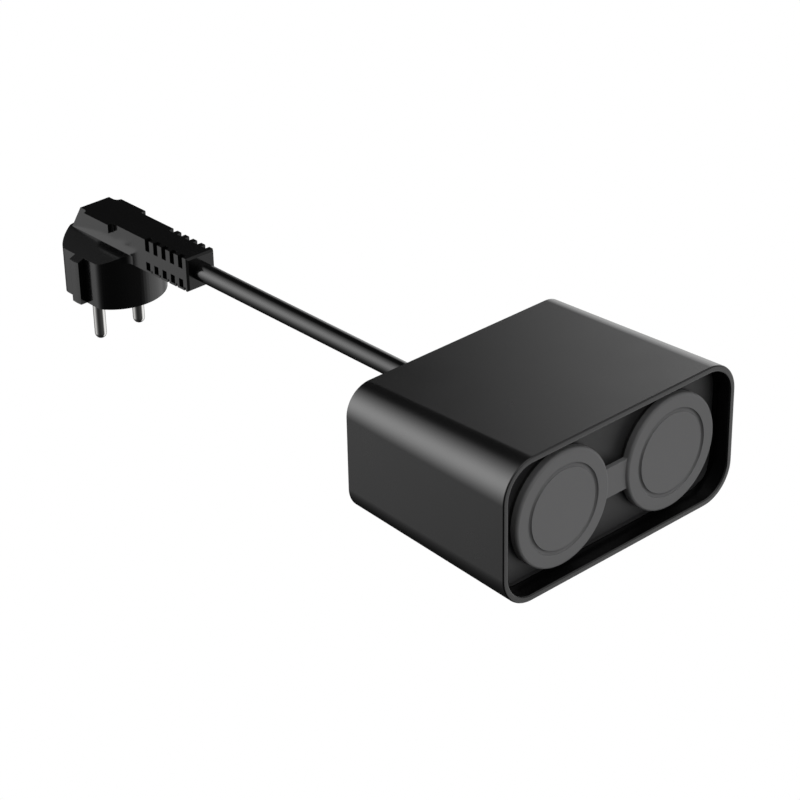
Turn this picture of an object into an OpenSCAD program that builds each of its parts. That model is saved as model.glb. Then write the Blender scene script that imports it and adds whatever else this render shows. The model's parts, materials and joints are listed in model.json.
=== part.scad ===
// Outdoor smart plug: a two-socket switched box on a short lead with an angled earthed plug.
// Millimetres. The origin is the centre of the plug's contact face: the pins point down (-Z),
// the lead leaves towards -Y, and the box stands at the far end of it with its sockets facing -Y.

/* [Box] */
// width of the box at its front rim
case_w = 108; // [90:0.5:130]
// height of the box at its front rim
case_h = 53; // [45:0.5:70]
// depth of the box
case_d = 76; // [60:0.5:100]
// corner radius at the front rim
case_r = 13; // [6:0.5:20]
// how much the moulding draft narrows each side by the back
case_draft = 2.75; // [0:0.05:5]
// wall of the sleeve at the rims
wall = 2.3; // [1.5:0.1:4]
// distance from the plug's centre to the middle of the box
plug_to_case = 234; // [180:1:400]

/* [Sockets] */
// distance between the two socket centres
socket_pitch = 50.6; // [48:0.1:60]
// inner radius of a socket well
well_r = 19.5; // [19:0.1:21]
// depth of a socket well
well_depth = 17.5; // [17:0.1:19]
// distance between the pins
pin_pitch = 19; // [19:0.1:19]
// radius of a pin
pin_r = 2.4; // [2:0.05:3]
// radial clearance of a pin hole
pin_hole_gap = 0.3; // [0.1:0.05:0.5]

/* [Front] */
// depth of the raised panel face behind the rim
panel_depth = 6; // [3:0.1:12]
// height of the raised panel face over its flange
panel_step = 1.3; // [0.5:0.1:3]
// margin between the flange's edge and the raised face
panel_margin = 2.1; // [1:0.1:4]
// corner radius of the raised face
panel_r = 5; // [2:0.5:10]

/* [Caps] */
// radius of a rubber cap
cap_r = 21; // [20:0.1:24]
// depth of a cap's front face behind the rim
cap_front = 1.8; // [0:0.1:4]
// thickness of a cap's disc
cap_t = 2.8; // [1.5:0.1:5]
// radius of the round groove in a cap's face
groove_r = 15.2; // [10:0.1:19]
// width of the groove, twice its depth
groove_w = 1.6; // [0.8:0.1:2.4]
// distance of a cap's hinge line from the middle
hinge_x = 2.4; // [1.5:0.1:4]
// height of the strap between the caps
strap_h = 11; // [6:0.5:16]
// thickness of the strap
strap_t = 1.7; // [1:0.1:3]

/* [Lead and plug] */
// diameter of the lead
cord_d = 7.5; // [6:0.1:10]
// radius of the plug's drum
drum_r = 20; // [17:0.1:22]
// distance between the flats on the two sides of the drum
drum_flats = 33.4; // [28:0.1:38]
// height of the drum at its flats
drum_h = 19.2; // [15:0.1:25]
// height of the drum's sloping top where it meets the handle
shoulder_h = 23.2; // [18:0.1:28]
// half width of the handle
handle_x = 7; // [5:0.1:10]
// height of the handle's top
handle_h = 33.4; // [28:0.1:40]
// distance from the plug's centre to the end of its strain relief
relief_end = 55.8; // [40:0.1:70]
// length of the pins
pin_len = 19; // [17:0.1:19]

/* [Hidden] */
$fn = 48;
tiny = 0.01;
mid_z = case_h / 2;
front_y = -case_d / 2;
socket_x = socket_pitch / 2;
slot_gap = 0.15;             // play between the box's inserts and the sleeve
ledge = 1.2;                 // how far the sleeve's inner ledges stand in
flange_d = panel_depth + panel_step;
flange_t = 2;
gasket_t = 1.5;
ledge_d = flange_d + flange_t + gasket_t;
cover_t = 3;
cover_gasket_t = 1;
cover_d = case_d - cover_t;
rear_ledge_d = cover_d - cover_gasket_t;
hinge_d = cap_front + cap_t - strap_t / 2 - 0.1;
well_floor_d = panel_depth + well_depth;
floor_t = 2.5;
collar_d = cap_front + cap_t + 0.15;
collar_r = well_r + 0.8;
cup_r = well_r + 1.4;
pillar_x = 43.4;
pillar_z = 15.9;
pillar_r = 3;
post_z = 17;                 // the board's posts and the insert screws, above and below the middle
insert_screw_x = 7.5;
clamp_post_x = 11;
insert_flange_t = 1.8;
skirt_d = 33;                // how deep the walls behind a socket's floor reach
clip_z = 18.7;               // an earth clip's distance from the socket's middle
board_d = 46;
board_t = 1.6;
board_back = board_d + board_t;
clamp_d = 60.5;
clamp_t = 6;
tail_d = 59.5;               // where the lead's sheath is stripped inside the box
gland_r = 6;
anchor_r = 1.15;
cover_screw_r = 1.25;
cover_head_r = 2.8;
board_screw_r = 1.25;
insert_screw_r = 1.05;
clamp_screw_r = 1.2;
black = "#1b1b1d";
panel_grey = "#3a3a3c";
rubber_grey = "#5e5e60";
steel = "#c8c8cc";
brass = "#c9a24b";
board_green = "#1f5a3a";
white_plastic = "#d8d8d4";

function draft(d) = case_draft * d / case_d;
function at(d) = front_y + d;

// ---- shared shapes, in the box's own frame: x across, y back from the middle, z up from the base

module outline(w, h, r) {
    offset(r = r)
        square([w - 2 * r, h - 2 * r], center = true);
}

// a thin slice of the box's outline at depth d behind the rim, shrunk by inset
module slice(d, inset, r = undef) {
    s = draft(d) + inset;
    translate([0, at(d), mid_z])
        rotate([90, 0, 0])
            linear_extrude(tiny, center = true)
                outline(case_w - 2 * s, case_h - 2 * s, is_undef(r) ? max(case_r - s, 1) : r);
}

// a drafted block from depth d0 to depth d1, with its front or back edge chamfered
module tapered(d0, d1, inset, front_bevel = 0, back_bevel = 0) {
    hull() {
        slice(d0 + tiny / 2, inset + front_bevel);
        slice(d0 + front_bevel + tiny / 2, inset);
        slice(d1 - back_bevel - tiny / 2, inset);
        slice(d1 - tiny / 2, inset + back_bevel);
    }
}

// a cylinder along y from depth d0 to depth d1, centred on x, z
module rod(x, z, r, d0, d1, r1 = undef) {
    translate([x, at(d0), z])
        rotate([-90, 0, 0])
            cylinder(h = d1 - d0, r1 = r, r2 = is_undef(r1) ? r : r1);
}

module block(x0, x1, d0, d1, z0, z1) {
    translate([x0, at(d0), z0])
        cube([x1 - x0, d1 - d0, z1 - z0]);
}

module in_case() {
    translate([0, -plug_to_case, 0])
        children();
}

module corners() {
    for (sx = [-1, 1], sz = [-1, 1])
        translate([sx * pillar_x, 0, mid_z + sz * pillar_z])
            children();
}

// a screw along y from its tip to under its head; the head's side follows from which is deeper
module screw(x, z, tip_d, head_d, r, head_r, head_t) {
    len = abs(head_d - tip_d);
    translate([x, at(head_d), z])
        rotate([tip_d < head_d ? -90 : 90, 0, 0])
            difference() {
                union() {
                    translate([0, 0, -len])
                        cylinder(h = len, r = r);
                    cylinder(h = head_t, r = head_r);
                }
                translate([0, 0, head_t / 2])
                    cylinder(h = head_t, r = head_r * 0.42, $fn = 6);
            }
}

// ---- box

module outer_sleeve() {
    $fn = 96;
    bevel = 0.5;
    color(black)
        in_case()
            difference() {
                tapered(0, case_d, 0, front_bevel = bevel);
                tapered(-1, ledge_d, wall);
                tapered(ledge_d - 1, rear_ledge_d + 1, wall + ledge);
                tapered(rear_ledge_d, case_d + 1, wall);
                hull() {
                    slice(-0.2, wall - bevel - 0.2);
                    slice(bevel, wall);
                }
            }
}

module front_panel() {
    edge = 0.9;              // rounding of the raised face's edge
    color(panel_grey)
        in_case()
            difference() {
                union() {
                    tapered(flange_d, flange_d + flange_t, wall + slot_gap);
                    hull() {
                        slice(panel_depth + tiny / 2, wall + panel_margin + edge, panel_r - 0.7);
                        slice(panel_depth + edge / 3, wall + panel_margin + edge / 3, panel_r - 0.2);
                        slice(panel_depth + edge, wall + panel_margin, panel_r);
                        slice(flange_d + 0.5, wall + panel_margin, panel_r);
                    }
                    corners()
                        rod(0, 0, pillar_r, flange_d + 1, rear_ledge_d);
                    for (side = [-1, 1])
                        rod(0, mid_z + side * post_z, 2.6, flange_d + 1, board_d);
                }
                for (s = [-1, 1])
                    rod(s * socket_x, mid_z, collar_r + 0.15, 0, 20);
                rod(0, mid_z, anchor_r + 0.1, 0, 20);
                corners()
                    rod(0, 0, cover_screw_r, rear_ledge_d - 14, case_d);
                for (side = [-1, 1])
                    rod(0, mid_z + side * post_z, board_screw_r, board_d - 7, case_d);
                for (s = [-1, 1], side = [-1, 1])
                    rod(s * insert_screw_x, mid_z + side * post_z, insert_screw_r, panel_depth + 1, 20);
            }
}

module ring_between(d0, d1, outer, inner) {
    difference() {
        tapered(d0, d1, outer);
        tapered(d0 - 1, d1 + 1, inner);
    }
}

module front_gasket() {
    color(black)
        in_case()
            ring_between(flange_d + flange_t, ledge_d, wall + 0.25, wall + ledge - 0.05);
}

module rear_gasket() {
    color(black)
        in_case()
            difference() {
                ring_between(rear_ledge_d, cover_d, wall + 0.25, wall + ledge + 0.2);
                corners()
                    rod(0, 0, pillar_r + 0.1, rear_ledge_d - 1, case_d);
            }
}

button_x = -24;
led_x = -36;
button_z = mid_z + 5;
button_r = 4.05;
pipe_r = 1.45;

module rear_cover() {
    color(black)
        in_case()
            difference() {
                union() {
                    tapered(cover_d, case_d, wall + slot_gap, back_bevel = 0.6);
                    corners()
                        rod(0, 0, pillar_r, rear_ledge_d, cover_d + 1);
                    for (s = [-1, 1])
                        rod(s * clamp_post_x, mid_z, 2.4, clamp_d + clamp_t, cover_d + 1);
                }
                corners() {
                    rod(0, 0, cover_screw_r + 0.3, 0, case_d + 1);
                    rod(0, 0, cover_head_r + 0.3, case_d - 2, case_d + 1);
                }
                for (s = [-1, 1])
                    rod(s * clamp_post_x, mid_z, clamp_screw_r, 0, cover_d + 1);
                rod(0, mid_z, gland_r, 0, case_d + 1);
                rod(button_x, button_z, button_r + 0.2, 0, case_d + 1);
                rod(led_x, button_z, pipe_r, 0, case_d + 1);
            }
}

module cover_screws() {
    color(steel)
        in_case()
            for (sx = [-1, 1], sz = [-1, 1])
                screw(sx * pillar_x, mid_z + sz * pillar_z, case_d - 14, case_d - 2, cover_screw_r, cover_head_r, 1.6);
}

// ---- sockets

module socket_insert(s) {
    x = s * socket_x;
    flange_back = flange_d + flange_t;
    color(panel_grey)
        in_case()
            difference() {
                union() {
                    rod(x, mid_z, collar_r, collar_d, flange_back + 0.5);
                    difference() {
                        union() {
                            rod(x, mid_z, 22.2, flange_back, flange_back + insert_flange_t);
                            for (side = [-1, 1])
                                ear(s, side, flange_back);
                        }
                        corners()
                            rod(0, 0, pillar_r + 0.4, 0, 40);
                    }
                    rod(x, mid_z, cup_r, flange_back, well_floor_d + floor_t);
                    block(x - 14, x + 14, well_floor_d + floor_t - tiny, skirt_d, mid_z - 7.2, mid_z + 7.2);
                }
                difference() {
                    rod(x, mid_z, well_r, 0, well_floor_d);
                    for (side = [-1, 1])
                        guide(x + side * 18.6, 9, well_floor_d + 1);
                }
                for (side = [-1, 1]) {
                    rod(x + side * pin_pitch / 2, mid_z, pin_r + pin_hole_gap, 0, 40);
                    block(x - 2.7, x + 2.7, 10, 40, mid_z + side * clip_z - 0.9, mid_z + side * clip_z + 0.9);
                    rod(s * insert_screw_x, mid_z + side * post_z, insert_screw_r + 0.2, 0, 20);
                }
                block(x - 20, x + 20, well_floor_d + floor_t, skirt_d + 1, mid_z - 6.2, mid_z + 6.2);
            }
}

// a lug of the insert's flange towards the middle of the box, for its screw
module ear(s, side, d) {
    block(min(s * 4.6, s * 15), max(s * 4.6, s * 15), d, d + insert_flange_t,
        mid_z + side * post_z - 2.8, mid_z + side * post_z + 2.8);
}

// a keying rib down the side of a well
module guide(x, d0, d1) {
    block(x - 2, x + 2, d0, d1, mid_z - 2.2, mid_z + 2.2);
}

module insert_screws() {
    head_d = flange_d + flange_t + insert_flange_t;
    color(steel)
        in_case()
            for (s = [-1, 1], side = [-1, 1])
                screw(s * insert_screw_x, mid_z + side * post_z, panel_depth + 1.4, head_d, insert_screw_r, 2.2, 1.4);
}

module earth_clips(s) {
    x = s * socket_x;
    half_w = 2.5;
    half_t = 0.5;
    strap_d = 36.5;
    color(steel)
        in_case() {
            for (side = [-1, 1]) {
                block(x - half_w, x + half_w, 11, strap_d + 2 * half_t,
                    mid_z + side * clip_z - half_t, mid_z + side * clip_z + half_t);
                translate([x - half_w, at(15), mid_z + side * (clip_z - 0.8)])
                    rotate([0, 90, 0])
                        cylinder(h = 2 * half_w, r = 1.5);
            }
            block(x - half_w, x + half_w, strap_d, strap_d + 2 * half_t,
                mid_z - clip_z - half_t, mid_z + clip_z + half_t);
        }
}

shutter_travel = 6;
shutter_d = well_floor_d + floor_t + 0.2;

// slides towards -x to bring its two holes behind the pin holes
module shutter(s) {
    x = s * socket_x;
    color("#b85a2a")
        in_case()
            difference() {
                block(x - 14.5, x + 14.5, shutter_d, shutter_d + 1.8, mid_z - 5.6, mid_z + 5.6);
                for (side = [-1, 1])
                    rod(x + side * pin_pitch / 2 + shutter_travel, mid_z, pin_r + 0.5, 0, 40);
            }
}

carrier_d = shutter_d + 2.1;
carrier_back = carrier_d + 7.8;

module contact_carrier(s) {
    x = s * socket_x;
    color("#2a2a2c")
        in_case()
            difference() {
                union() {
                    block(x - 15, x + 15, carrier_d, carrier_back, mid_z - 6, mid_z + 6);
                    block(x - 15, x + 15, skirt_d, carrier_back, mid_z - 7.4, mid_z + 7.4);
                }
                for (side = [-1, 1])
                    rod(x + side * pin_pitch / 2, mid_z, contact_r, 0, 60);
            }
}

contact_r = 3.5;

module contacts(s) {
    color(brass)
        in_case()
            for (side = [-1, 1]) {
                x = s * socket_x + side * pin_pitch / 2;
                difference() {
                    union() {
                        rod(x, mid_z, contact_r, carrier_d + 0.3, 43);
                        block(x - 1.5, x + 1.5, 42, board_back + 1.2, mid_z - 0.4, mid_z + 0.4);
                    }
                    rod(x, mid_z, pin_r + 0.1, 0, 41);
                    block(x - 4, x + 4, 0, 39, mid_z - 0.4, mid_z + 0.4);
                }
            }
}

// ---- rubber caps

module cap(s) {
    x = s * socket_x;
    hinge = s * hinge_x;
    back = cap_front + cap_t;
    spigot_out = well_r - 0.4;
    color(rubber_grey)
        in_case() {
            difference() {
                union() {
                    rod(x, mid_z, cap_r - 0.6, cap_front, cap_front + 0.6, cap_r);
                    rod(x, mid_z, cap_r, cap_front + 0.6, back);
                }
                translate([x, at(cap_front), mid_z])
                    rotate([90, 0, 0])
                        rotate_extrude($fn = 96)
                            translate([groove_r, 0])
                                circle(groove_w / 2, $fn = 24);
            }
            difference() {
                rod(x, mid_z, spigot_out, back - tiny, back + 2.5, spigot_out - 0.3);
                rod(x, mid_z, spigot_out - 1.8, back - 1, back + 5);
                block(min(hinge, hinge + s * 6.5), max(hinge, hinge + s * 6.5), back, 20, 0, case_h);
            }
            block(min(hinge, s * 6), max(hinge, s * 6), hinge_d - strap_t / 2, hinge_d + strap_t / 2, mid_z - strap_h / 2, mid_z + strap_h / 2);
            translate([hinge, at(hinge_d), mid_z - strap_h / 2])
                cylinder(h = strap_h, r = strap_t / 2);
        }
}

module strap_anchor() {
    half = hinge_x - strap_t / 2 - 0.2;
    snap_d = flange_d + flange_t + 0.1;
    color(rubber_grey)
        in_case() {
            block(-half, half, hinge_d - strap_t / 2, hinge_d + strap_t / 2,
                mid_z - strap_h / 2, mid_z + strap_h / 2);
            rod(0, mid_z, anchor_r, hinge_d, snap_d + 0.2);
            rod(0, mid_z, 2.1, snap_d, snap_d + 1.5, 1);
        }
}

// ---- electronics, on the back of the board

module main_board() {
    color(board_green)
        in_case()
            difference() {
                block(-46, 46, board_d, board_back, mid_z - 20, mid_z + 20);
                for (sx = [-1, 1], sz = [-1, 1])
                    translate([sx * 46, 0, mid_z + sz * 20])
                        block(-6.2, 6.2, 0, case_d, -7.7, 7.7);
                for (side = [-1, 1])
                    rod(0, mid_z + side * post_z, board_screw_r + 0.15, 0, case_d);
                for (s = [-1, 1], side = [-1, 1]) {
                    x = s * socket_x + side * pin_pitch / 2;
                    block(x - 1.6, x + 1.6, 0, case_d, mid_z - 0.5, mid_z + 0.5);
                }
                for (s = [-1, 1])
                    relay_leads(s, 0, case_d);
                varistor_leads(0, case_d);
            }
}

module board_screws() {
    color(steel)
        in_case()
            for (side = [-1, 1])
                screw(0, mid_z + side * post_z, board_d - 6, board_back, board_screw_r, 2.5, 1.6);
}

module relay_leads(s, d0, d1) {
    for (dx = [-3.5, 3.5], dz = [-16, -5])
        rod(s * 26 + dx, mid_z + dz, 0.4, d0, d1);
}

module relay(s) {
    color("#20242a")
        in_case() {
            difference() {
                block(s * 26 - 5.2, s * 26 + 5.2, board_back, board_back + 15.4, mid_z - 19, mid_z - 1.5);
                block(s * 26 - 3.8, s * 26 + 3.8, board_back + 15, board_back + 16, mid_z - 17.5, mid_z - 3);
            }
            relay_leads(s, board_d - 1.6, board_back + tiny);
        }
}

module power_module() {
    color("#101014")
        in_case()
            difference() {
                block(15, 38, board_back, board_back + 15, mid_z + 1.5, mid_z + 18.5);
                block(16, 37, board_back + 14.6, board_back + 16, mid_z + 2.5, mid_z + 17.5);
            }
}

module wifi_module() {
    color("#173a2c")
        in_case()
            block(-19, -4, board_back, board_back + 0.8, mid_z + 9, mid_z + 19.5);
}

module wifi_shield() {
    color(steel)
        in_case()
            block(-17.5, -8, board_back + 0.8, board_back + 3, mid_z + 9.6, mid_z + 18.9);
}

module capacitors() {
    color("#22304a")
        in_case()
            for (x = [-36.5, -16])
                difference() {
                    rod(x, mid_z - 12, 4, board_back, board_back + 11);
                    block(x - 3, x + 3, board_back + 10.6, board_back + 12, mid_z - 12.2, mid_z - 11.8);
                    block(x - 0.2, x + 0.2, board_back + 10.6, board_back + 12, mid_z - 15, mid_z - 9);
                }
}

module varistor_leads(d0, d1) {
    for (dz = [-2.5, 2.5])
        rod(8.8, mid_z + 13 + dz, 0.4, d0, d1);
}

module varistor() {
    color("#2f6aa8")
        in_case() {
            translate([7, at(board_back + 7), mid_z + 13])
                rotate([0, 90, 0])
                    cylinder(h = 3.6, r = 5);
            varistor_leads(board_d - 1.2, board_back + 4);
        }
}

module fuse() {
    z0 = mid_z - 17;
    len = 12;
    color(brass)
        in_case() {
            translate([14.6, at(board_back + 3.4), z0])
                cylinder(h = len, r = 2);
            for (z = [z0, z0 + len - 3])
                translate([14.6, at(board_back + 3.4), z])
                    cylinder(h = 3, r = 2.4);
            for (z = [z0 + 0.5, z0 + len - 2.5])
                block(13.4, 15.8, board_back, board_back + 2, z, z + 2);
        }
}

terminal_z = mid_z - 9;
terminal_top_d = board_back + 9;

module terminal_block() {
    color("#2f7a46")
        in_case()
            difference() {
                block(-11, 11, board_back, terminal_top_d, terminal_z - 5, terminal_z + 5);
                for (x = [-7, 0, 7]) {
                    rod(x, terminal_z, 1.8, board_back + 3, case_d);
                    translate([x, at(board_back + 5), terminal_z + 2])
                        cylinder(h = 4, r = 1.4);
                }
            }
}

switch_top_d = board_back + 18;

module button_switch() {
    color("#151515")
        in_case() {
            block(button_x - 3, button_x + 3, board_back, switch_top_d, button_z - 3, button_z + 3);
            rod(button_x, button_z, 1.7, switch_top_d - tiny, switch_top_d + 1.4);
        }
}

module status_led() {
    color("#cfe6ff")
        in_case() {
            rod(led_x, button_z, 1.4, board_back, board_back + 3);
            rod(led_x, button_z, 1.7, board_back, board_back + 0.8);
        }
}

button_travel = 0.8;

module button() {
    color("#2e2e31")
        in_case() {
            rod(button_x, button_z, button_r, cover_d - 1, case_d + button_travel);
            rod(button_x, button_z, button_r + 0.85, cover_d - 2.2, cover_d - 1);
            rod(button_x, button_z, 1.2, switch_top_d + 1.4 + button_travel + 0.2, cover_d - 2);
        }
}

module light_pipe() {
    color("#e8eef2")
        in_case() {
            rod(led_x, button_z, pipe_r, board_back + 3.5, case_d + 0.2);
            rod(led_x, button_z, pipe_r + 0.8, cover_d - 1.2, cover_d);
        }
}

// ---- lead

module cable_gland() {
    boot_len = 23;
    groove_pitch = 3.6;
    color(black)
        in_case()
            difference() {
                union() {
                    rod(0, mid_z, gland_r + 2, cover_d - 2.5, cover_d);
                    rod(0, mid_z, gland_r, cover_d - 1, case_d + 1);
                    rod(0, mid_z, gland_r + 2, case_d, case_d + 2);
                    rod(0, mid_z, 6.6, case_d + 1, case_d + boot_len, 4.9);
                }
                rod(0, mid_z, cord_d / 2, 0, case_d + 40);
                for (k = [0:4], side = [-1, 1]) {
                    d = case_d + 5 + groove_pitch * k;
                    block(min(side * 4.6, side * 10), max(side * 4.6, side * 10), d, d + 1.6, 0, case_h);
                }
            }
}

module cord_clamp() {
    half_w = clamp_post_x + 3;
    color(white_plastic)
        in_case()
            difference() {
                block(-half_w, half_w, clamp_d, clamp_d + clamp_t, mid_z - 5.5, mid_z + 5.5);
                rod(0, mid_z, cord_d / 2, 0, case_d);
                for (s = [-1, 1])
                    rod(s * clamp_post_x, mid_z, clamp_screw_r + 0.15, 0, case_d);
            }
}

module clamp_screws() {
    color(steel)
        in_case()
            for (s = [-1, 1])
                screw(s * clamp_post_x, mid_z, clamp_d + clamp_t + 4, clamp_d, clamp_screw_r, 2.3, 1.5);
}

// points are across, depth, and height over the middle
module wire(points, tint) {
    r = 1.2;
    color(tint)
        in_case()
            for (i = [0:len(points) - 2])
                hull()
                    for (p = [points[i], points[i + 1]])
                        translate([p[0], at(p[1]), mid_z + p[2]])
                            sphere(r, $fn = 12);
}

lift_d = terminal_top_d + 1.5;          // wires pass this deep over the terminal block
seat_d = board_back + 4.6;              // and end this deep in it
seat_z = terminal_z - mid_z;

module outer_wire(side, tint) {
    wire([
        [side * 1.5, tail_d + 1, -1], [side * 3.2, lift_d + 0.2, -1.8], [side * 6, lift_d, -5],
        [side * 7, lift_d - 0.2, seat_z], [side * 7, seat_d, seat_z]
    ], tint);
}

module wire_live() {
    outer_wire(-1, "#6a3a22");
}

module wire_neutral() {
    wire([
        [0, tail_d + 1, 1.6], [0, lift_d - 0.1, 0.8], [0, lift_d - 0.3, -2.5],
        [0, lift_d - 0.1, seat_z], [0, seat_d, seat_z]
    ], "#3a6ac0");
}

module wire_earth() {
    outer_wire(1, "#6aa03a");
}

// the sheathed end of the lead inside the box, through the gland to the clamp
module cord_tail() {
    color(black)
        in_case()
            rod(0, mid_z, cord_d / 2, tail_d, case_d);
}

// the free lead, from the back of the box into the plug's strain relief
module cord() {
    color(black)
        translate([0, -relief_end + cord_seat, mid_z])
            rotate([90, 0, 0])
                cylinder(h = plug_to_case - case_d / 2 - relief_end + cord_seat, r = cord_d / 2);
}

// ---- plug, in the object's frame

cord_seat = 2;               // how far the lead goes into the strain relief
tail_r = 1.9;                // a pin inside the plug
pin_tail = 12;
pin_shoulder = 0.1;          // how far a pin's full thickness goes into the plug's face
earth_y = -10;               // the earth hole's distance from the pins' line
earth_r = 2.6;

relief_low = 19.7;
comb_y = -31.7;
comb_pitch = 4.95;
comb_w = 2.5;
window_z = 22.3;
window_h = 3.5;
grip_x = 9.2;
grip_h = 3.6;
grip_front = -10;
grip_rear = 5.6;

function arc(x, y, r, a0, a1) = [for (i = [0:8]) let (a = a0 + (a1 - a0) * i / 8) [x + r * cos(a), y + r * sin(a)]];

// the drum's outline: a circle with two flats, its corners eased
module drum_outline() {
    ease = 5;
    offset(r = ease)
        offset(delta = -ease)
            intersection() {
                circle(drum_r, $fn = 96);
                square([drum_flats, 3 * drum_r], center = true);
            }
}

// the hollow corner between the drum's front and the side of the handle
module front_blend() {
    r = 5;
    cx = handle_x + r;
    cy = -sqrt(pow(drum_r + r, 2) - pow(cx, 2));
    turn = atan2(-cy, cx);
    polygon(concat([[0, 0], [0, cy]], arc(cx, cy, r, 180, 180 - turn)));
}

module drum() {
    rib_w = 5.5;
    rib_r = drum_r - 0.3;
    rim = shoulder_h - (shoulder_h - drum_h) * (drum_r - handle_x) / (drum_flats / 2 - handle_x);
    intersection() {
        union() {
            linear_extrude(shoulder_h + 1)
                drum_outline();
            intersection() {
                cylinder(h = shoulder_h, r = rib_r, $fn = 96);
                translate([-drum_r, -rib_w / 2, 0])
                    cube([2 * drum_r, rib_w, shoulder_h]);
            }
            for (side = [0, 1])
                mirror([side, 0, 0])
                    translate([0, 0, relief_low])
                        linear_extrude(shoulder_h - relief_low + 1)
                            front_blend();
        }
        rotate([90, 0, 0])
            linear_extrude(3 * drum_r, center = true)
                polygon([
                    [-drum_r, 0], [drum_r, 0], [drum_r, rim], [handle_x, shoulder_h],
                    [-handle_x, shoulder_h], [-drum_r, rim]
                ]);
    }
}

// half of the grip pad's outline, with a hollow in front of it and a deeper one behind it
module grip_outline() {
    step = grip_x - handle_x;
    small = 0.9;
    polygon(concat(
        [[0, grip_front - small], [handle_x, grip_front - small]],
        arc(handle_x + small, grip_front - small, small, 180, 90),
        [[grip_x, grip_front], [grip_x, grip_rear]],
        arc(grip_x, grip_rear + step, step, 270, 180),
        [[0, grip_rear + step]]
    ));
}

module handle() {
    rear_top = 10.6;
    rear_low = 17.2;
    foot = 15;
    translate([handle_x, 0, 0])
        rotate([0, -90, 0])
            linear_extrude(2 * handle_x)
                polygon([
                    [foot, 12], [shoulder_h, rear_low], [handle_h, rear_top],
                    [handle_h, -30], [relief_low, -30], [relief_low, -18], [foot, -18]
                ]);
    hull() {
        translate([-handle_x, -30, relief_low])
            cube([2 * handle_x, 1, handle_h - relief_low]);
        translate([-6.6, -relief_end + 1, relief_low])
            cube([13.2, 0.5, handle_h - relief_low]);
        translate([-6, -relief_end, relief_low + 0.6])
            cube([12, 1, handle_h - relief_low - 1.2]);
    }
    for (side = [0, 1])
        mirror([side, 0, 0])
            translate([0, 0, handle_h - grip_h])
                linear_extrude(grip_h)
                    grip_outline();
}

module plug_body() {
    slot_depth = 2.3;
    color(black)
        difference() {
            union() {
                drum();
                handle();
            }
            // the comb: slots in the top edges, windows below them and notches in the low edges
            for (k = [0:4], s = [-1, 1]) {
                y = comb_y - comb_pitch * k;
                translate([s * (handle_x - slot_depth / 2 + 0.5), y, handle_h - 2.35])
                    cube([slot_depth + 1, comb_w, 4.8], center = true);
                translate([s * (handle_x - slot_depth / 2 + 0.5), y + 0.1, window_z])
                    cube([slot_depth + 1, comb_w, window_h], center = true);
                translate([s * (handle_x + 0.5), y - 2, relief_low])
                    cube([3.4, 0.9, 2.8], center = true);
            }
            translate([0, -relief_end + cord_seat, mid_z])
                rotate([90, 0, 0])
                    cylinder(h = 10, r = cord_d / 2);
            for (s = [-1, 1])
                translate([s * pin_pitch / 2, 0, -1]) {
                    cylinder(h = pin_tail + 1, r = tail_r);
                    cylinder(h = 1 + pin_shoulder, r = pin_r + 0.1);
                }
            translate([0, earth_y, -1])
                cylinder(h = 15, r = earth_r + 1.4);
            bridge(3, 10, 0);
            translate([-3, drum_r - 1.2, -1])
                cube([6, 3, 16]);
        }
}

module bridge(z, h, gap) {
    translate([-14 + gap, -5.5 + gap, z])
        cube([28 - 2 * gap, 9 - 2 * gap, h]);
}

module plug_bridge() {
    color(white_plastic)
        difference() {
            bridge(3.1, 9.8, 0.1);
            for (s = [-1, 1])
                translate([s * pin_pitch / 2, 0, 0])
                    cylinder(h = 20, r = tail_r);
            translate([0, earth_y, 0])
                cylinder(h = 20, r = earth_r + 1.5);
        }
}

module plug_pins() {
    color(steel)
        for (s = [-1, 1])
            translate([s * pin_pitch / 2, 0, -pin_len + pin_r]) {
                cylinder(h = pin_len - pin_r + pin_shoulder, r = pin_r);
                cylinder(h = pin_len - pin_r + pin_tail, r = tail_r);
                sphere(pin_r);
            }
}

module plug_earth_contact() {
    recess = 0.2;
    color(steel) {
        translate([0, earth_y, recess])
            difference() {
                cylinder(h = 13, r = earth_r + 1.3);
                translate([0, 0, -1])
                    cylinder(h = 12.5, r = earth_r);
            }
        translate([-2.8, drum_r - 1.1, recess])
            cube([5.6, 0.8, 14]);
    }
}

outer_sleeve();
front_panel();
front_gasket();
rear_cover();
rear_gasket();
cover_screws();
socket_insert(-1);  // socket_insert_left
socket_insert(1);  // socket_insert_right
insert_screws();
earth_clips(-1);  // earth_clips_left
earth_clips(1);  // earth_clips_right
shutter(-1);  // shutter_left
shutter(1);  // shutter_right
contact_carrier(-1);  // contact_carrier_left
contact_carrier(1);  // contact_carrier_right
contacts(-1);  // contacts_left
contacts(1);  // contacts_right
cap(-1);  // cap_left
cap(1);  // cap_right
strap_anchor();
main_board();
board_screws();
relay(-1);  // relay_left
relay(1);  // relay_right
power_module();
wifi_module();
wifi_shield();
capacitors();
varistor();
fuse();
terminal_block();
button_switch();
status_led();
button();
light_pipe();
cable_gland();
cord_clamp();
clamp_screws();
wire_live();
wire_neutral();
wire_earth();
cord_tail();
cord();
plug_body();
plug_bridge();
plug_pins();
plug_earth_contact();
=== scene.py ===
"""Looks of the outdoor smart plug: two capped sockets in a black box, on a short lead with its plug.

Metres, in the CAD frame: the box's front faces -Y, the plug is at the origin and Z is up.
"""

import json
import math

import bmesh
import bpy
from mathutils import Matrix, Vector


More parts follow.
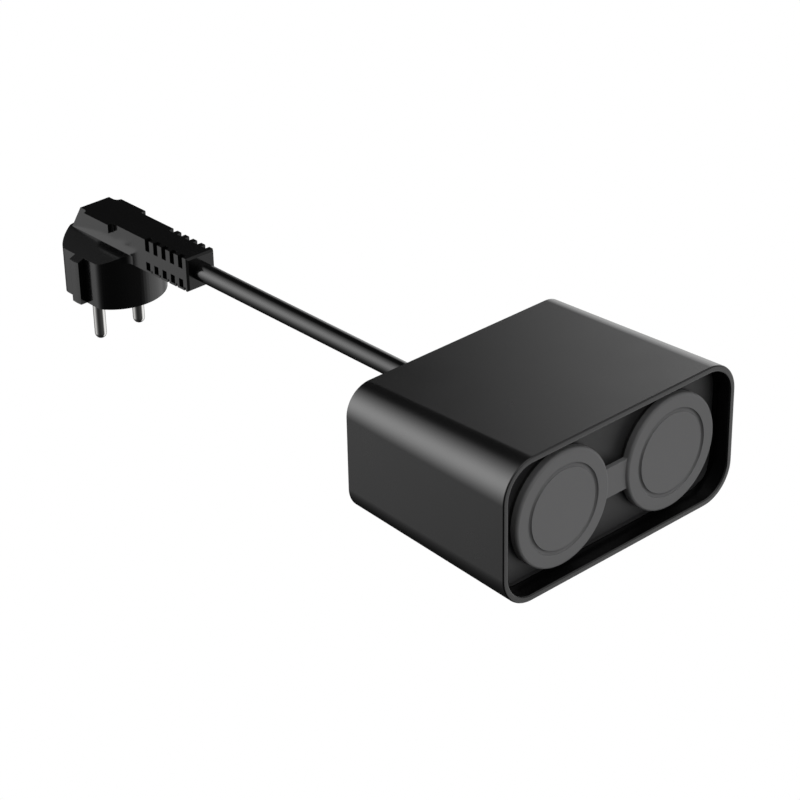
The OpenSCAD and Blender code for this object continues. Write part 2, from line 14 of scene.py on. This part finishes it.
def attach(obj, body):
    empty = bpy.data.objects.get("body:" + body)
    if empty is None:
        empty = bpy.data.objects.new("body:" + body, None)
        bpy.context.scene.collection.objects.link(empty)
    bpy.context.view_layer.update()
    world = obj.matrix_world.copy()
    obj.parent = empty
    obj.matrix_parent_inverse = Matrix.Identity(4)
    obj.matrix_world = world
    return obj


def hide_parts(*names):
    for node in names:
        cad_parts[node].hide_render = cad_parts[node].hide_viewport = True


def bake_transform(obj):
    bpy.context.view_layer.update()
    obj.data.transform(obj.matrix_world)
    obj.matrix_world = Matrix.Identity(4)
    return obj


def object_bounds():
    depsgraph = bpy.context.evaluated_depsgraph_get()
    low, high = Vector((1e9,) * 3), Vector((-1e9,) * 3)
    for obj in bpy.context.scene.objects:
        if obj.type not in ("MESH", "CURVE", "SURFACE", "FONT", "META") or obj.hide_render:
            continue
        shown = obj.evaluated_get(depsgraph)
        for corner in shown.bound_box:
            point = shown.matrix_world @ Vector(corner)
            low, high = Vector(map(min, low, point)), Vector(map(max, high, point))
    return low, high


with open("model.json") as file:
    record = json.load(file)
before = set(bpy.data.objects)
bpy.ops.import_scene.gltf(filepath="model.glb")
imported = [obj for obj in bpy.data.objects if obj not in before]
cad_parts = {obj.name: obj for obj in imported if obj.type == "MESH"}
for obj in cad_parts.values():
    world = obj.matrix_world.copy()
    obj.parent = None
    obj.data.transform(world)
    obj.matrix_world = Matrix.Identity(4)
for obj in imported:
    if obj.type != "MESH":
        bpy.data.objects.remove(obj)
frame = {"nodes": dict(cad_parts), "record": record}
CAD_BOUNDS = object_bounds()

# sizes that are the CAD part's own
CASE_WIDTH = 0.108
CASE_HEIGHT = 0.053
CASE_DEPTH = 0.076
CASE_RADIUS = 0.013
DRAFT = 0.00275  # on each side, from the rim to the back
WALL = 0.0023
LEDGE = 0.0012
LEDGE_DEPTH = 0.0108
REAR_LEDGE_DEPTH = 0.072
FRONT_Y = -0.272
CASE_BACK_Y = FRONT_Y + CASE_DEPTH
STRAP_FRONT = 0.0028  # behind the rim
STRAP_THICKNESS = 0.0017
STRAP_HEIGHT = 0.011
LEAD_Z = 0.0265
LEAD_DIAMETER = 0.0075
RELIEF_END_Y = -0.0558
LEAD_SEAT = 0.002  # how far the lead goes into the plug's relief

WHITE = (1, 1, 1, 1)
SLOTS = {part["node"]: part["material_slot"] for part in frame["record"]["subparts"]}


class Nodes:
    """A short way to write a node tree."""

    def __init__(self, tree):
        self.tree = tree
        tree.nodes.clear()

    def add(self, kind, inputs, **settings):
        """A node with its settings, and with a link or a value for each input named."""
        node = self.tree.nodes.new(kind)
        for name, value in settings.items():
            setattr(node, name, value)
        for key, value in inputs.items():
            if isinstance(value, bpy.types.NodeSocket):
                self.tree.links.new(value, node.inputs[key])
            else:
                node.inputs[key].default_value = value
        return node

    def math(self, operation, a, b=0.0):
        return self.add("ShaderNodeMath", {0: a, 1: b}, operation=operation).outputs[0]


# ---- camera and floor

CAMERA_PLACE = (-0.52486, -0.74673, 0.45004)
# in degrees: turned about Z from looking along +Y, tilted down from level, and rolled about its own axis
CAMERA_TURN = -42.10
CAMERA_DOWN = 29.079
CAMERA_ROLL = -1.122
CAMERA_LENS = 114.766
SENSOR_WIDTH = 36
CLIP_START = 0.01

FLOOR_GAP = 0.0005
FLOOR_HALF = 3.0


def make_camera():
    cam = bpy.data.objects.new("camera", bpy.data.cameras.new("camera"))
    bpy.context.collection.objects.link(cam)
    turn = Matrix.Rotation(math.radians(CAMERA_TURN), 4, "Z")
    tilt = Matrix.Rotation(math.radians(90 - CAMERA_DOWN), 4, "X")
    roll = Matrix.Rotation(math.radians(CAMERA_ROLL), 4, "Z")
    cam.matrix_world = Matrix.Translation(CAMERA_PLACE) @ turn @ tilt @ roll
    cam.data.sensor_width = SENSOR_WIDTH
    cam.data.lens = CAMERA_LENS
    cam.data.clip_start = CLIP_START
    bpy.context.scene.camera = cam


def make_floor():
    """A white floor that only the camera sees: the world's light stands in for what it would reflect."""
    z = CAD_BOUNDS[0][2] - FLOOR_GAP
    corners = [(x * FLOOR_HALF, y * FLOOR_HALF, z) for x, y in ((-1, -1), (1, -1), (1, 1), (-1, 1))]
    mesh = bpy.data.meshes.new("floor")
    mesh.from_pydata(corners, [], [(0, 1, 2, 3)])
    material = bpy.data.materials.new("floor_white")
    material.use_nodes = True
    n = Nodes(material.node_tree)
    glow = n.add("ShaderNodeEmission", {"Color": WHITE, "Strength": 1.0})
    n.add("ShaderNodeOutputMaterial", {"Surface": glow.outputs[0]})
    mesh.materials.append(material)
    floor = bpy.data.objects.new("floor", mesh)
    bpy.context.collection.objects.link(floor)
    floor.visible_diffuse = False
    floor.visible_glossy = False
    floor.visible_transmission = False
    floor.visible_shadow = False


# ---- light

# Azimuths go clockwise from +Y seen from above, elevations go up from level, both in degrees.
WINDOW = {"azimuth": -45, "elevation": 17, "tightness": 6.9, "peak": 5.2}
WINDOW_END = (12, -12)  # dark at the first azimuth, whole at the second
FRONT_LIGHT = {"azimuth": 165, "elevation": 45, "tightness": 5.0, "peak": 1.6}
AMBIENT = 0.018

# Each edge of a panel goes from dark at its first angle to full at its second.
KEY_PANEL = {
    "left": (40, 52),
    "right": (104, 88),
    "bottom": (-52, 20),
    "top": (36, 26),
    "peak": 1.75,
}
LOW_PANEL = {
    "left": (80, 104),
    "right": (160, 128),
    "bottom": (-75, -50),
    "top": (0, -20),
    "peak": 1.15,
}


def direction(azimuth, elevation):
    """The unit vector at an azimuth and an elevation."""
    a = math.radians(azimuth)
    e = math.radians(elevation)
    return (math.sin(a) * math.cos(e), math.cos(a) * math.cos(e), math.sin(e))


def lobe(n, way, azimuth, elevation, tightness, peak):
    """Light that is brightest in one direction and fades smoothly around it."""
    inputs = {0: way, 1: direction(azimuth, elevation)}
    dot = n.add("ShaderNodeVectorMath", inputs, operation="DOT_PRODUCT").outputs["Value"]
    fall = n.math("MULTIPLY", n.math("SUBTRACT", dot, 1.0), tightness)
    return n.math("MULTIPLY", n.math("EXPONENT", fall), peak)


def ramp(n, value, dark, full):
    """A smooth step from 0 at one value to 1 at another."""
    inputs = {"Value": value, "From Min": dark, "From Max": full, "To Min": 0.0, "To Max": 1.0}
    return n.add("ShaderNodeMapRange", inputs, interpolation_type="SMOOTHSTEP").outputs[0]


def panel(n, azimuth, elevation, left, right, bottom, top, peak):
    """A panel of light with soft edges, far away."""
    across = n.math("MULTIPLY", ramp(n, azimuth, *left), ramp(n, azimuth, *right))
    upright = n.math("MULTIPLY", ramp(n, elevation, *bottom), ramp(n, elevation, *top))
    return n.math("MULTIPLY", n.math("MULTIPLY", across, upright), peak)


def make_world():
    """The studio's light on the object, and plain white where the camera sees past the floor."""
    world = bpy.data.worlds.new("studio")
    bpy.context.scene.world = world
    world.use_nodes = True
    n = Nodes(world.node_tree)
    way = n.add("ShaderNodeTexCoord", {}).outputs["Generated"]
    parts = n.add("ShaderNodeSeparateXYZ", {0: way}).outputs
    azimuth = n.math("DEGREES", n.math("ARCTAN2", parts["X"], parts["Y"]))
    elevation = n.math("DEGREES", n.math("ARCSINE", parts["Z"]))
    total = n.math("MULTIPLY", lobe(n, way, **WINDOW), ramp(n, azimuth, *WINDOW_END))
    total = n.math("ADD", total, AMBIENT)
    total = n.math("ADD", total, lobe(n, way, **FRONT_LIGHT))
    total = n.math("ADD", total, panel(n, azimuth, elevation, **KEY_PANEL))
    total = n.math("ADD", total, panel(n, azimuth, elevation, **LOW_PANEL))
    lit = n.add("ShaderNodeBackground", {"Color": WHITE, "Strength": total})
    seen = n.add("ShaderNodeBackground", {"Color": WHITE, "Strength": 1.0})
    eye = n.add("ShaderNodeLightPath", {}).outputs["Is Camera Ray"]
    mix = n.add("ShaderNodeMixShader", {0: eye, 1: lit.outputs[0], 2: seen.outputs[0]})
    n.add("ShaderNodeOutputWorld", {"Surface": mix.outputs[0]})


# ---- materials

MOTTLE_SCALE = 60.0
MOTTLE_RANGE = (0.3, 0.7)  # the noise's values that the gloss follows
GLOSS_SPREAD = 0.06
GRAIN_SIZE = 0.0004
GRAIN_DEPTH = 0.00005


def surface(name, colour, roughness, grain=0.0, mottle=0.08, **sockets):
    """A moulded or metal surface: slight mottle of the colour, uneven gloss and a fine grain in relief."""
    material = bpy.data.materials.new(name)
    material.use_nodes = True
    n = Nodes(material.node_tree)
    place = n.add("ShaderNodeTexCoord", {}).outputs["Object"]
    noise = {"Vector": place, "Scale": MOTTLE_SCALE, "Detail": 4.0}
    broad = n.add("ShaderNodeTexNoise", noise).outputs["Fac"]
    shade = n.add("ShaderNodeValToRGB", {"Fac": broad})
    shade.color_ramp.elements[0].color = (*(c * (1 - mottle) for c in colour), 1)
    shade.color_ramp.elements[1].color = (*(min(c * (1 + mottle), 1) for c in colour), 1)
    gloss = {
        "Value": broad,
        "From Min": MOTTLE_RANGE[0],
        "From Max": MOTTLE_RANGE[1],
        "To Min": roughness * (1 - GLOSS_SPREAD),
        "To Max": roughness * (1 + GLOSS_SPREAD),
    }
    inputs = {
        "Base Color": shade.outputs["Color"],
        "Roughness": n.add("ShaderNodeMapRange", gloss).outputs[0],
    }
    if grain:
        noise = {"Vector": place, "Scale": 1 / GRAIN_SIZE, "Detail": 2.0}
        fine = n.add("ShaderNodeTexNoise", noise).outputs["Fac"]
        relief = {"Height": fine, "Strength": grain, "Distance": GRAIN_DEPTH}
        inputs["Normal"] = n.add("ShaderNodeBump", relief).outputs[0]
    for socket, value in sockets.items():
        inputs[socket.replace("_", " ")] = value
    body = n.add("ShaderNodeBsdfPrincipled", inputs)
    n.add("ShaderNodeOutputMaterial", {"Surface": body.outputs[0]})
    return material


# each slot's colour and roughness, and what else it has
PLASTICS = {
    "case_plastic": ((0.0025, 0.0025, 0.0026), 0.26, {"grain": 0.05}),
    "panel_plastic": ((0.026, 0.026, 0.0265), 0.48, {"grain": 0.1, "Specular_IOR_Level": 0.4}),
    "shutter_plastic": ((0.35, 0.12, 0.04), 0.45, {"grain": 0.1}),
    "carrier_plastic": ((0.01, 0.01, 0.011), 0.5, {"grain": 0.1}),
    "board_laminate": ((0.01, 0.09, 0.04), 0.35, {"mottle": 0.2}),
    "relay_plastic": ((0.012, 0.014, 0.017), 0.3, {"grain": 0.1}),
    "potting_plastic": ((0.008, 0.008, 0.01), 0.25, {}),
    "capacitor_sleeve": ((0.02, 0.035, 0.09), 0.3, {}),
    "varistor_coat": ((0.03, 0.14, 0.35), 0.35, {"grain": 0.2}),
    "terminal_plastic": ((0.03, 0.2, 0.06), 0.4, {"grain": 0.1}),
    "clear_plastic": ((0.85, 0.9, 0.93), 0.15, {}),
    "nylon": ((0.62, 0.61, 0.57), 0.4, {"grain": 0.1}),
    "plug_plastic": ((0.002, 0.002, 0.0021), 0.15, {"grain": 0.05}),
}
RUBBERS_AND_SHEATHS = {
    "seal_rubber": ((0.01, 0.01, 0.01), 0.7, {"grain": 0.4}),
    "cap_rubber": ((0.168, 0.168, 0.17), 0.6, {"grain": 0.3}),
    "button_rubber": ((0.03, 0.03, 0.032), 0.6, {"grain": 0.4}),
    "gland_rubber": ((0.006, 0.006, 0.0065), 0.42, {"grain": 0.3}),
    "wire_brown": ((0.16, 0.05, 0.02), 0.35, {}),
    "wire_blue": ((0.03, 0.09, 0.4), 0.35, {}),
    "wire_green": ((0.1, 0.3, 0.05), 0.35, {}),
    "cord_sheath": ((0.002, 0.002, 0.0021), 0.17, {"grain": 0.05, "Specular_IOR_Level": 0.32}),
}
METALS = {
    "screw_steel": ((0.6, 0.6, 0.62), 0.3, {"Metallic": 1.0}),
    "clip_steel": ((0.66, 0.66, 0.68), 0.22, {"Metallic": 1.0}),
    "contact_brass": ((0.75, 0.55, 0.22), 0.28, {"Metallic": 1.0}),
    "pin_nickel": ((0.66, 0.655, 0.64), 0.12, {"Metallic": 1.0}),
}

MATERIALS = {
    slot: surface(slot, colour, roughness, **more)
    for group in (PLASTICS, RUBBERS_AND_SHEATHS, METALS)
    for slot, (colour, roughness, more) in group.items()
}


def dress(data, slot):
    """The mesh or curve gets the slot's material as its only one."""
    data.materials.clear()
    data.materials.append(MATERIALS[slot])


def dress_nodes():
    for node, slot in SLOTS.items():
        dress(frame["nodes"][node].data, slot)


# ---- pieces in general


def add_piece(name, mesh):
    """A new object whose smooth shading follows its larger faces."""
    piece = bpy.data.objects.new(name, mesh)
    bpy.context.collection.objects.link(piece)
    normals = piece.modifiers.new("even_normals", "WEIGHTED_NORMAL")
    normals.keep_sharp = True
    return piece


def stand_in(piece, node, body):
    """The piece takes a CAD node's place, on its body and in its material."""
    dress(piece.data, SLOTS[node])
    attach(piece, body)
    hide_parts(node)


# ---- moulded pieces: the CAD's bodies with their edges rounded

MERGE_DISTANCE = 2e-6
FLAT_ANGLE = math.radians(0.6)
SHARP_ANGLE = math.radians(28)
BEVEL_SEGMENTS = 3

# each node's body, the radius of its edges (0 leaves them), and the angle from which an edge stays sharp
MOULDED = {
    "front_panel": ("box", 0.0003, 180),
    "cap_left": ("cap_left", 0.0005, 60),
    "cap_right": ("cap_right", 0.0005, 60),
    "rear_cover": ("box", 0.0003, 180),
    "button": ("button", 0.0004, 180),
    "cable_gland": ("box", 0.0004, 180),
    "plug_body": ("box", 0.0005, 180),
    "plug_bridge": ("box", 0.0002, 180),
    "plug_pins": ("box", 0.0, 180),
    "plug_earth_contact": ("box", 0.0001, 180),
}


def moulded_name(node):
    return node + "_moulded"


def soften(node, body, radius, steep):
    """The CAD node's body with its edges rounded as a mould leaves them, but for the steep ones."""
    source = frame["nodes"][node]
    mesh = source.data.copy()
    mesh.name = moulded_name(node)
    bm = bmesh.new()
    bm.from_mesh(mesh)
    bmesh.ops.remove_doubles(bm, verts=bm.verts, dist=MERGE_DISTANCE)
    bmesh.ops.dissolve_limit(bm, angle_limit=FLAT_ANGLE, verts=bm.verts, edges=bm.edges)
    if radius:
        limit = math.radians(steep)
        inner = [edge for edge in bm.edges if len(edge.link_faces) == 2]
        bmesh.ops.bevel(
            bm,
            geom=[edge for edge in inner if SHARP_ANGLE < edge.calc_face_angle(0) < limit],
            offset=radius,
            offset_type="OFFSET",
            segments=BEVEL_SEGMENTS,
            profile=0.5,
            affect="EDGES",
            clamp_overlap=True,
        )
    for face in bm.faces:
        face.smooth = True
    bm.to_mesh(mesh)
    bm.free()
    mesh.set_sharp_from_angle(angle=SHARP_ANGLE)
    piece = add_piece(moulded_name(node), mesh)
    piece.matrix_world = source.matrix_world.copy()
    stand_in(piece, node, body)


def make_moulded():
    for node, (body, radius, steep) in MOULDED.items():
        soften(node, body, radius, steep)


# ---- the box's sleeve and the caps' strap

LOFT_SHARP_ANGLE = math.radians(40)
CORNER_STEPS = 20
RIM_RADIUS = 0.0005
RIM_STEPS = 4
REAR_CHAMFER = 0.0003
STRAP_REACH = 0.006  # to each side of the middle
STRAP_STEPS = 24
STRAP_CHAMFER = 0.0002
STRAP_SKIN = 0.00005  # how far it stands out from the CAD's strap


def loft(name, rings, closed):
    """A skin over rings of points. Closed joins the last ring to the first, else both ends are capped."""
    count = len(rings[0])
    points = [point for ring in rings for point in ring]
    faces = []
    for i in range(len(rings) if closed else len(rings) - 1):
        low = i * count
        high = (i + 1) % len(rings) * count
        for j in range(count):
            k = (j + 1) % count
            faces.append((low + j, low + k, high + k, high + j))
    if not closed:
        faces.append(tuple(range(count))[::-1])
        faces.append(tuple(range((len(rings) - 1) * count, len(rings) * count)))
    mesh = bpy.data.meshes.new(name)
    mesh.from_pydata(points, [], faces)
    bm = bmesh.new()
    bm.from_mesh(mesh)
    bmesh.ops.recalc_face_normals(bm, faces=bm.faces)
    for face in bm.faces:
        face.smooth = True
    bm.to_mesh(mesh)
    bm.free()
    mesh.set_sharp_from_angle(angle=LOFT_SHARP_ANGLE)
    return add_piece(name, mesh)


def case_ring(depth, inset):
    """The case's rounded outline at a depth behind the rim, shrunk by an inset."""
    shrink = DRAFT * depth / CASE_DEPTH + inset
    half_w = CASE_WIDTH / 2 - shrink
    half_h = CASE_HEIGHT / 2 - shrink
    r = CASE_RADIUS - shrink
    ring = []
    for quarter, (side, up) in enumerate(((1, 1), (-1, 1), (-1, -1), (1, -1))):
        for i in range(CORNER_STEPS + 1):
            a = math.radians(90 * (quarter + i / CORNER_STEPS))
            x = side * (half_w - r) + r * math.cos(a)
            z = up * (half_h - r) + r * math.sin(a)
            ring.append((x, FRONT_Y + depth, LEAD_Z + z))
    return ring


def make_sleeve():
    """The box's tube: round the rim from outside to inside, back along the ledges and out at the rear."""
    turns = [math.radians(90 * i / RIM_STEPS) for i in range(RIM_STEPS + 1)]
    outer = [(RIM_RADIUS * (1 - math.sin(a)), RIM_RADIUS * (1 - math.cos(a))) for a in turns]
    inner = [(RIM_RADIUS * (1 - math.cos(a)), WALL - RIM_RADIUS * (1 - math.sin(a))) for a in turns]
    inside = [
        (LEDGE_DEPTH, WALL),
        (LEDGE_DEPTH, WALL + LEDGE),
        (REAR_LEDGE_DEPTH, WALL + LEDGE),
        (REAR_LEDGE_DEPTH, WALL),
        (CASE_DEPTH, WALL),
        (CASE_DEPTH, REAR_CHAMFER),
        (CASE_DEPTH - REAR_CHAMFER, 0),
    ]
    sleeve = loft("sleeve", [case_ring(*place) for place in outer + inner + inside], closed=True)
    stand_in(sleeve, "outer_sleeve", "box")


def make_strap():
    """The rubber strap between the caps, in two halves, one to each side of the middle."""
    front = FRONT_Y + STRAP_FRONT - STRAP_SKIN
    back = FRONT_Y + STRAP_FRONT + STRAP_THICKNESS + STRAP_SKIN
    half = STRAP_HEIGHT / 2 + STRAP_SKIN
    section = [
        (front, half - STRAP_CHAMFER),
        (front + STRAP_CHAMFER, half),
        (back, half),
        (back, -half),
        (front + STRAP_CHAMFER, -half),
        (front, STRAP_CHAMFER - half),
    ]
    for side, name in ((-1, "left"), (1, "right")):
        rings = []
        for i in range(STRAP_STEPS + 1):
            x = side * STRAP_REACH * i / STRAP_STEPS
            rings.append([(x, y, LEAD_Z + z) for y, z in section])
        strap = loft("strap_" + name, rings, closed=False)
        dress(strap.data, "cap_rubber")
        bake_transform(strap)


# ---- lead

LEAD_POINTS = 21


def make_lead():
    """The lead, straight and taut from the box's back into the plug's relief."""
    start = Vector((0, CASE_BACK_Y, LEAD_Z))
    end = Vector((0, RELIEF_END_Y + LEAD_SEAT, LEAD_Z))
    data = bpy.data.curves.new("lead", "CURVE")
    data.dimensions = "3D"
    data.bevel_depth = LEAD_DIAMETER / 2
    data.bevel_resolution = 12
    data.use_fill_caps = True
    spline = data.splines.new("POLY")
    spline.points.add(LEAD_POINTS - 1)
    for i, point in enumerate(spline.points):
        point.co = (*start.lerp(end, i / (LEAD_POINTS - 1)), 1)
    lead = bpy.data.objects.new("lead", data)
    bpy.context.collection.objects.link(lead)
    stand_in(lead, "cord", "box")


make_camera()
make_world()
make_floor()
dress_nodes()
make_moulded()
make_sleeve()
make_strap()
make_lead()

bpy.context.scene.view_settings.view_transform = "Standard"
